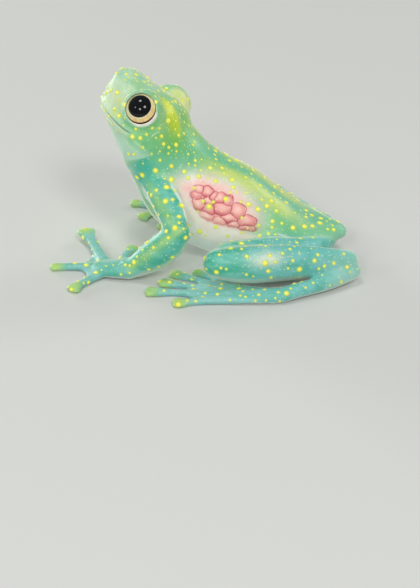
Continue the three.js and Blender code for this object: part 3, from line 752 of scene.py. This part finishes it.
# The rear is paler and bluer, its pale end partly a painted highlight, and a painted highlight lies as a pale
# line on the thigh beside the back
rear = {"pale": (11.6, 15.2), "legBlue": (2.6, 7.5), "back": (3.5, 9)}
masks["rearPale"] = smoothStep(x, *rear["pale"])
masks["legBlue"] = smoothStep(x, *rear["legBlue"]) * legs
masks["rearBack"] = smoothStep(x, *rear["back"]) * trunk
# A thin pale sliver where the thigh meets the flank: a painted highlight.
sliver = {"line": ((6.8, 4.3, 4.2), (7.87, 4.37, 4.08), (8.9, 4.3, 4.0)), "wide": 0.12, "fade": 0.3}
gap, along = toLine(bodyPoints, sliver["line"])
raiseMask("rimHighlight", bell(gap, sliver["wide"]) * smoothStep(0.5 - np.abs(along - 0.5), 0, sliver["fade"]))

# Raised yellow spots, smaller ones between them, and fine pale dots
rings = {"spot": (1.1, 0.7), "spotCore": (0.8, 0.1), "spotHalo": (1.7, 0.9)}
dotRing = {"dot": (1.2, 0.6)}
spotKinds = {
    "large": {"count": 250, "radius": (0.18, 0.3), "high": 0.42, "apart": 0.3, "rings": rings},
    "small": {"count": 430, "radius": (0.1, 0.18), "high": 0.42, "apart": 0.2, "rings": rings},
    "dots": {"count": 1900, "radius": (0.045, 0.07), "high": 0.3, "apart": 0.06, "rings": dotRing},
}
spotPlaces = {
    "bare": {"socket": 0, "lidRim": 0.1, "mouthCreaseShade": 0.2, "nostrilShade": 0.2}, "lowest": 0.35,
    "down": (-0.75, 0.05), "fewer": {"cell": 0.75, "throat": 0.8}, "fewerDigits": 0.45, "fewerBelly": 0.5,
    "tries": 12, "reach": 1.7,
}
likings = {
    "large": 1 - 0.55 * headParts - 0.4 * legs, "small": 1 + 0.5 * headParts,
    "dots": 1 + 6 * masks["legHighlight"],
}
welcome = smoothStep(normals[:, 2], *spotPlaces["down"])
for name, fewer in spotPlaces["fewer"].items():
    welcome *= 1 - fewer * masks[name]
welcome *= 1 - spotPlaces["fewerDigits"] * np.clip(digits, 0, 1) - spotPlaces["fewerBelly"] * masks["belly"]
welcome[height < spotPlaces["lowest"]] = 0
for name, most in spotPlaces["bare"].items():
    welcome[masks[name] > most] = 0
order = np.argsort(x)
sortedX = x[order]
startMasks("spot", "spotCore", "spotHalo", "dot")
placed = np.zeros((0, 4))


def around(spot, radius):
    start, end = np.searchsorted(sortedX, (spot[0] - radius, spot[0] + radius))
    candidates = order[start:end]
    gap = gapTo(points[candidates], spot)
    kept = gap < radius
    return candidates[kept], gap[kept]


for kind, spots in spotKinds.items():
    liking = welcome * likings[kind]
    tries = rng.choice(len(points), spots["count"] * spotPlaces["tries"], p=liking / liking.sum())
    sizes = rng.uniform(*spots["radius"], len(tries))
    count = 0
    for chosen, size in zip(tries, sizes):
        spot = points[chosen]
        if len(placed):
            room = gapTo(placed[:, :3], spot) - placed[:, 3] - size
            if room.min() < spots["apart"]:
                continue
        placed = np.vstack([placed, (*spot, size)])
        close, gap = around(spot, size * spotPlaces["reach"])
        t = gap / size
        moves[close] += spots["high"] * size * np.clip(1 - t * t, 0, None) ** 1.5
        for name, edge in spots["rings"].items():
            raiseMask(name, smoothStep(t, *edge), close)
        count += 1
        if count == spots["count"]:
            break
    print(kind, "spots", count)
# The spots glow a little as well: painted light by emission.
raiseMask("selfGlow", masks["spot"])

moves[inSocket] = 0
points = points + normals * moves[:, None]
low, high = np.array(cadBounds) / mm
points = np.clip(points, low, high)
skin = makeMesh("skin", points, quads)
for name, values in masks.items():
    addAttribute(skin, name, values)
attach(skin, "root")
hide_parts(*[node for node, _ in fleshNodes])
print("skin with", len(masks), "masks")


# Materials

# A colour written as in paint charts, from its six digits
def colour(code):
    channels = [int(code[i:i + 2], 16) / 255 for i in (0, 2, 4)]
    return (*[c / 12.92 if c <= 0.04045 else ((c + 0.055) / 1.055) ** 2.4 for c in channels], 1)


def setSockets(node, values):
    for name, value in values.items():
        node.inputs[name].default_value = value


def newMaterial(name):
    material = bpy.data.materials.new(name)
    material.use_nodes = True
    tree = material.node_tree
    return material, tree, tree.nodes["Principled BSDF"]


# Cloudy unevenness, shared by the skin and the eyes: a mask between two levels of a noise
mottleSockets = {"Scale": 1000, "Detail": 4, "From": 0.35, "To": 0.65}
mottle = bpy.data.node_groups.new("Mottle", "ShaderNodeTree")
mottle.interface.new_socket("Position", in_out="INPUT", socket_type="NodeSocketVector")
for name, number in mottleSockets.items():
    socket = mottle.interface.new_socket(name, in_out="INPUT", socket_type="NodeSocketFloat")
    socket.default_value = number
mottle.interface.new_socket("Mask", in_out="OUTPUT", socket_type="NodeSocketFloat")
groupIn, groupOut = mottle.nodes.new("NodeGroupInput"), mottle.nodes.new("NodeGroupOutput")
noise, levels = mottle.nodes.new("ShaderNodeTexNoise"), mottle.nodes.new("ShaderNodeMapRange")
noise.inputs["Roughness"].default_value = 0.55
for start, output, end, socket in (
        (groupIn, "Position", noise, "Vector"), (groupIn, "Scale", noise, "Scale"),
        (groupIn, "Detail", noise, "Detail"), (noise, "Fac", levels, "Value"),
        (groupIn, "From", levels, "From Min"), (groupIn, "To", levels, "From Max"),
        (levels, "Result", groupOut, "Mask")):
    mottle.links.new(start.outputs[output], end.inputs[socket])


def addMottle(tree, position, scale, detail, low, high):
    node = tree.nodes.new("ShaderNodeGroup")
    node.node_tree = mottle
    tree.links.new(position, node.inputs["Position"])
    setSockets(node, {"Scale": scale, "Detail": detail, "From": low, "To": high})
    return node.outputs["Mask"]


def addRange(tree, value, low, high, toLow=0, toHigh=1):
    node = tree.nodes.new("ShaderNodeMapRange")
    tree.links.new(value, node.inputs["Value"])
    setSockets(node, {"From Min": low, "From Max": high, "To Min": toLow, "To Max": toHigh})
    return node.outputs["Result"]


def addProduct(tree, a, b):
    node = tree.nodes.new("ShaderNodeMath")
    node.operation = "MULTIPLY"
    for socket, value in zip(node.inputs, (a, b)):
        if isinstance(value, (int, float)):
            socket.default_value = value
        else:
            tree.links.new(value, socket)
    return node.outputs["Value"]


def addMix(tree, factor, under, over):
    node = tree.nodes.new("ShaderNodeMix")
    node.data_type = "RGBA"
    for socket, value in ((node.inputs[0], factor), (node.inputs[6], under), (node.inputs[7], over)):
        if isinstance(value, (int, float, tuple)):
            socket.default_value = value
        else:
            tree.links.new(value, socket)
    return node.outputs[2]


def addMask(tree, name):
    node = tree.nodes.new("ShaderNodeAttribute")
    node.attribute_name = name
    return node.outputs["Fac"]


# Some paints stand for light: the dark of the lids' inner walls, the nostrils and the mouth crease, and the
# deep rose on each flank shape's lower edge are painted shade; the pale lines along the limbs, the pale patch
# on the legs, the pale sliver on the thigh and the light in each flank shape are painted highlights, and so in
# part are the pale rump end and the cream eye bulges.
paints = {
    "green": "55C08B", "greenLight": "8FD992", "mint": "9ADAB8", "mintLight": "C6EBC6", "throat": "C4EAD6",
    "cream": "E8F0C6", "blotch": "DCE66A", "bulgeTop": "EFF2AC", "stripe": "D9EA00", "stripeDeep": "B9DD06",
    "nape": "84CB52", "shoulder": "30C2BA", "shoulderTop": "A4DDB8", "backBand": "D3E774",
    "backLight": "86D488", "spine": "55C0A4", "rearBack": "96D3B8", "rearPale": "BFE6D6",
    "belly": "FBF6EE", "bellyRose": "FBE2D8", "bellyLow": "C4DAD6", "halo": "F3ECE6", "haloRose": "F8D8CE",
    "blush": "EE9E9B", "cell": "E77E82", "cellPale": "F2A79A", "cellHighlight": "FDE0D4",
    "cellShade": "DC5C6C", "cellLine": "B52C4A", "limb": "3FB798", "limbLight": "80D3C0",
    "limbBand": "48BAB0", "limbMiddle": "B4DD78", "limbRimHighlight": "D8F2D2", "legHighlight": "F8F8E4",
    "rimHighlight": "EDF7F0", "legBlue": "84CDD2", "disc": "CBE45C", "stem": "9CD0D4",
    "lips": "D6F0D2", "mouthCreaseShade": "35705A", "nostrilShade": "1E3A34", "foldLine": "D9F3D2",
    "lidRim": "DDF1D6", "lidPink": "FFF4EE", "lidFold": "8CD08C", "socket": "17201C",
    "dot": "F4F8C8", "spotHalo": "AEDC66", "spot": "F3EB14", "spotCore": "FFF88E",
}
paints = {name: colour(code) for name, code in paints.items()}
mottles = {  # scale, detail, and the levels of the noise where the mask starts and is full
    "cloud": (260, 4, 0.4, 0.62), "fine": (900, 5, 0.35, 0.65), "streak": (1100, 3, 0.38, 0.66),
    "grain": (5200, 3, 0, 1), "drawnOut": (0.28, 1, 1), "least": 0.5,
}

skinMaterial, tree, shader = newMaterial("Moist granular skin")
place = tree.nodes.new("ShaderNodeTexCoord").outputs["Object"]
drawnOut = tree.nodes.new("ShaderNodeMapping")
drawnOut.inputs["Scale"].default_value = mottles["drawnOut"]
tree.links.new(place, drawnOut.inputs["Vector"])
cloud = addMottle(tree, place, *mottles["cloud"])
fine = addMottle(tree, place, *mottles["fine"])
streak = addMottle(tree, drawnOut.outputs["Vector"], *mottles["streak"])
grain = addMottle(tree, place, *mottles["grain"])


def twoTone(mask, under, over):
    return addMix(tree, mask, paints[under], paints[over])


# Lays a colour over the paint where its mask is, broken up by a mottle if one is given
def layOver(paint, mask, over, strength, broken):
    factor = addMask(tree, mask)
    if broken is not None:
        factor = addProduct(tree, factor, addRange(tree, broken, 0, 1, mottles["least"], 1))
    if strength != 1:
        factor = addProduct(tree, factor, strength)
    return addMix(tree, factor, paint, over)


# From the lowest coat to the uppermost: mask, strength, what breaks it up. The paint has the mask's name.
coats = [
    ("limb", 1, None), ("legBlue", 0.65, streak), ("rearBack", 0.8, streak), ("rearPale", 0.7, fine),
    ("limbBand", 0.5, streak), ("limbMiddle", 0.75, fine), ("stem", 0.75, fine),
    ("backLight", 0.6, cloud), ("backBand", 0.9, streak), ("spine", 0.5, None),
    ("shoulderTop", 0.8, fine), ("shoulder", 0.95, fine), ("mint", 1, None), ("throat", 0.8, None),
    ("cream", 0.7, None), ("blotch", 1, fine), ("brow", 0.55, fine), ("nape", 0.85, fine),
    ("bulgeTop", 1, fine), ("stripe", 1, None),
    ("halo", 0.95, None), ("backBand", 0.6, streak), ("belly", 0.95, None), ("bellyLow", 0.7, None),
    ("blush", 0.85, cloud), ("cell", 0.95, None), ("cellShade", 0.7, fine), ("cellHighlight", 0.8, fine),
    ("cellLine", 0.95, None), ("disc", 0.9, fine), ("limbRimHighlight", 0.6, fine), ("legHighlight", 1, fine),
    ("rimHighlight", 0.85, None), ("lips", 0.6, None), ("foldLine", 0.75, None), ("lidFold", 0.5, None),
    ("dot", 0.85, None), ("spotHalo", 0.5, None), ("spot", 1, None), ("spotCore", 0.95, None),
    ("lidRim", 0.85, None), ("lidPink", 1, None), ("mouthCreaseShade", 0.8, None), ("nostrilShade", 0.85, None),
    ("socket", 1, None),
]
blended = {  # coats of two tones, or in another coat's paint
    "limb": twoTone(streak, "limb", "limbLight"),
    "mint": twoTone(fine, "mint", "mintLight"),
    "brow": paints["nape"],
    "stripe": twoTone(cloud, "stripeDeep", "stripe"),
    "halo": twoTone(fine, "halo", "haloRose"),
    "belly": twoTone(cloud, "belly", "bellyRose"),
    "cell": twoTone(addMask(tree, "cellTone"), "cell", "cellPale"),
}
paint = twoTone(cloud, "green", "greenLight")
for mask, strength, broken in coats:
    paint = layOver(paint, mask, blended[mask] if mask in blended else paints[mask], strength, broken)
tree.links.new(paint, shader.inputs["Base Color"])
skinGlossAndGlow = {
    "Subsurface Weight": 0.25, "Subsurface Radius": (0.9, 1.0, 0.7), "Subsurface Scale": 0.0005,
    "Coat Weight": 0.12, "Coat Roughness": 0.2,
    "Emission Strength": 0.17, "Sheen Weight": 1, "Sheen Roughness": 0.3, "Sheen Tint": (1, 1, 0.85, 1),
}
skinRough, skinBump = (0.38, 0.56), {"Strength": 0.5, "Distance": 0.00003}
tree.links.new(addRange(tree, fine, 0, 1, *skinRough), shader.inputs["Roughness"])
# Emission makes the masked paint glow: painted light.
tree.links.new(layOver((0, 0, 0, 1), "selfGlow", paint, 1, None), shader.inputs["Emission Color"])
bump = tree.nodes.new("ShaderNodeBump")
setSockets(bump, skinBump)
tree.links.new(grain, bump.inputs["Height"])
tree.links.new(bump.outputs["Normal"], shader.inputs["Normal"])
setSockets(shader, skinGlossAndGlow)
skin.data.materials.append(skinMaterial)

# Eyes: a gold iris round a wide pupil that looks a little forward and up
iris = {
    "pupil": 42.3, "shifted": 6.3, "shiftTo": (0.55, 0.83), "edge": 61.5, "edgeSwing": 5,
    "sunk": 0.05, "sunkAt": 9, "sunkWide": 8, "patches": 72,
    "flecks": (4200, 4, 0.5, 0.75), "fleckDepth": 0.14,
    "spokeCounts": (23, 7, 41), "spokes": (0.5, 0.9), "spokeDepth": 0.45,
    "front": (0.9, 0.4), "amberFrom": (0.35, 0.85), "ringEdge": (0.7, 0.25), "pupilEdge": (0.1, 0),
    "rimFrom": (0.25, 0.55), "rimEdge": (-0.15, 0.15), "rough": (0.25, 0.4),
}


# A ball of quads without poles: the six sides of a cube, blown up
def makeBall(patches):
    steps = np.tan(np.linspace(-math.pi / 4, math.pi / 4, patches + 1))
    a, b = np.meshgrid(steps, steps, indexing="ij")
    index = np.arange(a.size).reshape(a.shape)
    sheet = np.stack([index[:-1, :-1], index[1:, :-1], index[1:, 1:], index[:-1, 1:]], -1).reshape(-1, 4)
    points, quads = [], []
    for axis in range(3):
        for sign in (1, -1):
            corner = np.stack([np.full(a.shape, float(sign)), a * sign, b], -1).reshape(-1, 3)
            points.append(np.roll(corner, axis, axis=1))
            quads.append(sheet + a.size * len(quads))
    points, quads = np.concatenate(points), np.concatenate(quads)
    _, kept, welded = np.unique(points.round(6), axis=0, return_index=True, return_inverse=True)
    points = points[kept]
    return points / np.linalg.norm(points, axis=1, keepdims=True), welded.ravel()[quads]


def buildEye(side):
    ball, faces = makeBall(iris["patches"])
    toFront, toTop, toAxis = ball @ eyeForward[side], ball @ eyeUp[side], ball @ eyeAxis[side]
    across = np.maximum(np.hypot(toFront, toTop), 1e-6)
    ahead, above = iris["shiftTo"]
    swing = (toFront * ahead + toTop * above) / across
    shift = math.radians(iris["shifted"])
    looking = eyeForward[side] * ahead + eyeUp[side] * above
    pupilAxis = unit(eyeAxis[side] * math.cos(shift) + unit(looking) * math.sin(shift))
    fromPupil = np.degrees(np.arccos(np.clip(ball @ pupilAxis, -1, 1)))
    fromAxis = np.degrees(np.arccos(np.clip(toAxis, -1, 1)))
    past = fromPupil - iris["pupil"]
    radius = eyes["radius"] - iris["sunk"] * bell(past - iris["sunkAt"], iris["sunkWide"])
    thing = makeMesh("eyeball_" + side, ball * radius[:, None] + eyeBall[side], faces)
    ahead, above = iris["front"]
    addAttribute(thing, "pastPupil", past / 10)
    addAttribute(thing, "pastIris", (fromAxis - iris["edge"] - iris["edgeSwing"] * swing) / 10)
    addAttribute(thing, "rearward", 0.5 - 0.5 * (ahead * toFront + above * toTop) / across)
    azimuth = np.arctan2(toTop, toFront)
    many, swaying, more = iris["spokeCounts"]
    spokes = wave(azimuth * many + 2 * wave(azimuth, swaying, 0), 1, 0) * wave(azimuth, more, 1)
    addAttribute(thing, "spokes", 0.5 + 0.5 * spokes)
    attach(thing, "root")
    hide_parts("eye_" + side)
    return thing


irisPaints = {
    "black": "04050A", "rim": "14100C", "rimSoft": "B9B57E", "ring": "FBF3C4",
    "cream": "FBF4CC", "amber": "FFE0A0", "brown": "C28A48",
}
irisPaints = {name: colour(code) for name, code in irisPaints.items()}
eyeMaterial, tree, shader = newMaterial("Gold eye")
place = tree.nodes.new("ShaderNodeTexCoord").outputs["Object"]
pastPupil, pastIris = addMask(tree, "pastPupil"), addMask(tree, "pastIris")
fleck = addMottle(tree, place, *iris["flecks"])
spoke = addRange(tree, addMask(tree, "spokes"), *iris["spokes"])
rearward = addRange(tree, addMask(tree, "rearward"), *iris["amberFrom"])
gold = addMix(tree, rearward, irisPaints["cream"], irisPaints["amber"])
hatching = addProduct(tree, addProduct(tree, spoke, rearward), iris["spokeDepth"])
gold = addMix(tree, hatching, gold, irisPaints["brown"])
gold = addMix(tree, addProduct(tree, fleck, iris["fleckDepth"]), gold, irisPaints["brown"])
gold = addMix(tree, addRange(tree, pastPupil, *iris["ringEdge"]), gold, irisPaints["ring"])
gold = addMix(tree, addRange(tree, pastPupil, *iris["pupilEdge"]), gold, irisPaints["black"])
darker = addRange(tree, addMask(tree, "rearward"), *iris["rimFrom"])
outerRing = addMix(tree, darker, irisPaints["rimSoft"], irisPaints["rim"])
gold = addMix(tree, addRange(tree, pastIris, *iris["rimEdge"]), gold, outerRing)
tree.links.new(gold, shader.inputs["Base Color"])
tree.links.new(addRange(tree, fleck, 0, 1, *iris["rough"]), shader.inputs["Roughness"])
eyeGloss = {"Specular IOR Level": 0, "Coat Weight": 0.7, "Coat Roughness": 0.02, "Coat IOR": 1.5}
setSockets(shader, eyeGloss)
for side in sides:
    buildEye(side).data.materials.append(eyeMaterial)
print("eyes built")

# Stage, lights and camera

floor = {"size": 1.2, "colour": (0.72, 0.73, 0.71), "roughness": 0.7}
bpy.ops.mesh.primitive_plane_add(size=floor["size"])
ground = bpy.context.object
ground.name = "floor"
floorMaterial, tree, shader = newMaterial("Pale floor")
setSockets(shader, {"Base Color": (*floor["colour"], 1), "Roughness": floor["roughness"]})
ground.data.materials.append(floorMaterial)
ground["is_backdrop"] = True

lights = {  # place, size, power and colour
    "overhead": ((-0.068, -0.025, 0.341), 0.08, 0.215, (1, 0.99, 0.96)),
    "key": ((0.135, -0.201, 0.243), 0.09, 0.265, (1, 0.98, 0.94)),
    "front": ((-0.027, -0.293, 0.179), 0.068, 0.17, (1, 1, 1)),
    "left": ((-0.205, -0.206, 0.19), 0.04, 0.055, (0.95, 0.98, 1)),
    "rimLeft": ((-0.26, 0.19, 0.07), 0.12, 0.36, (1, 1, 0.92)),
    "rimRight": ((0.19, 0.25, 0.15), 0.12, 0.2, (1, 1, 0.94)),
}
studio = {"colour": (0.95, 0.97, 0.97), "strength": 0.34}
aim = Vector((0, 0, 0.007))
for name, (at, size, power, tint) in lights.items():
    lamp = bpy.data.lights.new(name, "AREA")
    lamp.shape = "DISK"
    lamp.size, lamp.energy, lamp.color = size, power, tint
    holder = bpy.data.objects.new(name, lamp)
    holder.location = at
    holder.rotation_euler = (aim - holder.location).to_track_quat("-Z", "Y").to_euler()
    scene.collection.objects.link(holder)
world = bpy.data.worlds.new("Studio")
world.use_nodes = True
sky = {"Color": (*studio["colour"], 1), "Strength": studio["strength"]}
setSockets(world.node_tree.nodes["Background"], sky)
scene.world = world
scene.view_settings.view_transform = "Standard"

camera = {
    "at": (30.492, -144.097, 74.619), "downward": 28.892, "turned": 12.395,
    "lens": 94.04, "sensor": 36, "near": 0.005, "far": 5,
}
lens = bpy.data.cameras.new("camera")
lens.sensor_fit = "VERTICAL"
lens.sensor_height = camera["sensor"]
lens.lens = camera["lens"]
lens.clip_start, lens.clip_end = camera["near"], camera["far"]
viewer = bpy.data.objects.new("camera", lens)
viewer.location = [value * mm for value in camera["at"]]
viewer.rotation_euler = (math.radians(90 - camera["downward"]), 0, math.radians(camera["turned"]))
scene.collection.objects.link(viewer)
scene.camera = viewer

sizes = {"cad": [list(corner) for corner in cadBounds], "visual": [list(corner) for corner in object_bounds()]}
